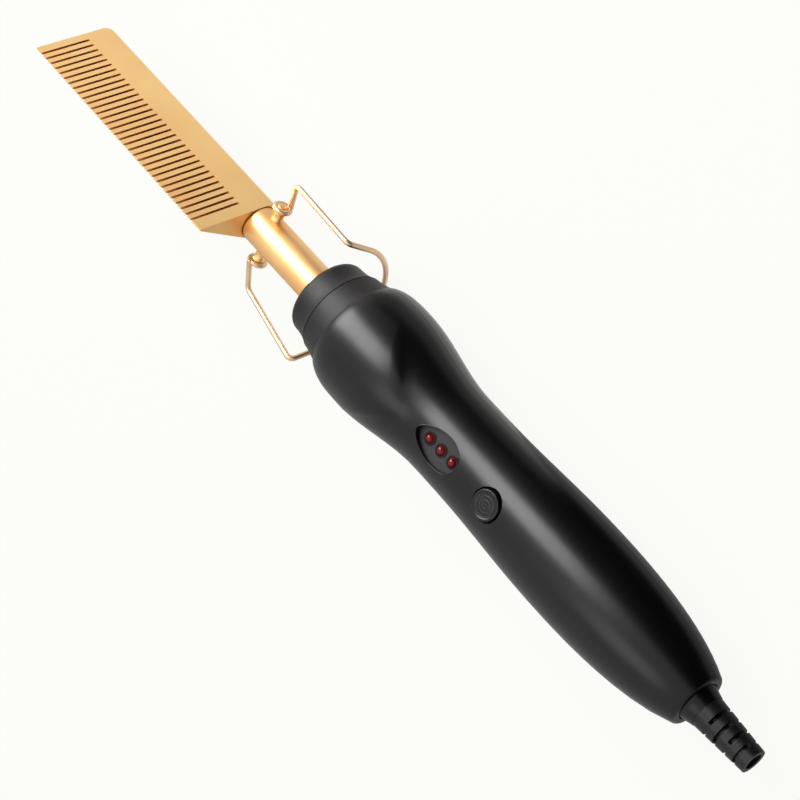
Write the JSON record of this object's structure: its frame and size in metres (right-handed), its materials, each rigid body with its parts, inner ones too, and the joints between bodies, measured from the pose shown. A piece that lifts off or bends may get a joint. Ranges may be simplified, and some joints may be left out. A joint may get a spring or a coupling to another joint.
{
  "type": "electric hot comb",
  "caption": "Heated hair-straightening comb: gold comb block on a steel neck, turned black handle with a lit window and power button, folding wire stand, swivelling cord outlet.",
  "frame": {"origin": "on the neck's axis, at the mouth of the cord's bore in the free end of the ribbed sleeve", "axes": "+X along the neck's axis from the cord outlet to the comb's far end, +Z the way the comb's teeth point, Y across the comb's flat sides and along the stand's hinge"},
  "size_m": [0.311, 0.0462, 0.0433],
  "materials": {
    "comb_gold": "satin",
    "neck_gold": "satin",
    "stand_wire": "satin",
    "handle_black": "semi-gloss",
    "collar_black": "matte",
    "window_black": "semi-gloss",
    "lamp_red": "gloss",
    "button_black": "satin",
    "sleeve_black": "satin",
    "heater_ceramic": "matte",
    "board_green": "satin",
    "component_dark": "matte",
    "component_yellow": "satin",
    "terminal_plastic": "matte",
    "lead_white": "matte",
    "steel_bright": "satin",
    "brass_ring": "polished",
    "insulator_tan": "matte"
  },
  "bodies": {
    "comb_and_handle": {"comb_head": "comb_gold", "heater": "heater_ceramic", "thermal_fuse": "steel_bright", "heat_sensor": "component_yellow", "heater_leads": "lead_white", "neck_tube": "neck_gold", "stud_near": "neck_gold", "stud_far": "neck_gold", "collar_front": "collar_black", "collar_rear": "collar_black", "neck_disc": "insulator_tan", "neck_ring": "steel_bright", "handle_upper": "handle_black", "handle_lower": "handle_black", "handle_screws": "steel_bright", "lamp_panel": "window_black", "lamp_front": "lamp_red", "lamp_middle": "lamp_red", "lamp_rear": "lamp_red", "circuit_board": "board_green", "board_screws": "steel_bright", "button_switch": "component_dark", "heater_terminal": "terminal_plastic", "supply_terminal": "terminal_plastic", "triac": "component_dark", "film_capacitor": "component_yellow", "controller_chip": "component_dark", "supply_leads": "lead_white", "brush_block": "insulator_tan"},
    "stand": {"wire_stand": "stand_wire"},
    "power_button": {"button_cap": "button_black", "switch_plunger": "component_dark"},
    "cord_outlet": {"swivel_cone": "handle_black", "slip_rings": "brass_ring", "ribbed_sleeve": "sleeve_black"}
  },
  "joints": [
    {"name": "stand_hinge", "type": "hinge", "parent": "comb_and_handle", "child": "stand", "pos_m": [0.2152, 0, 0], "axis": [0, 1, 0], "range_deg": [-137, 6]},
    {"name": "button_press", "type": "slide", "parent": "comb_and_handle", "child": "power_button", "axis": [0, 0.2079, -0.9781], "range_m": [0, 0.0008], "stiffness_N_per_m": 1500},
    {"name": "outlet_swivel", "type": "hinge", "parent": "comb_and_handle", "child": "cord_outlet", "pos_m": [0.0215, 0, 0], "axis": [1, 0, 0], "continuous": true}
  ]
}
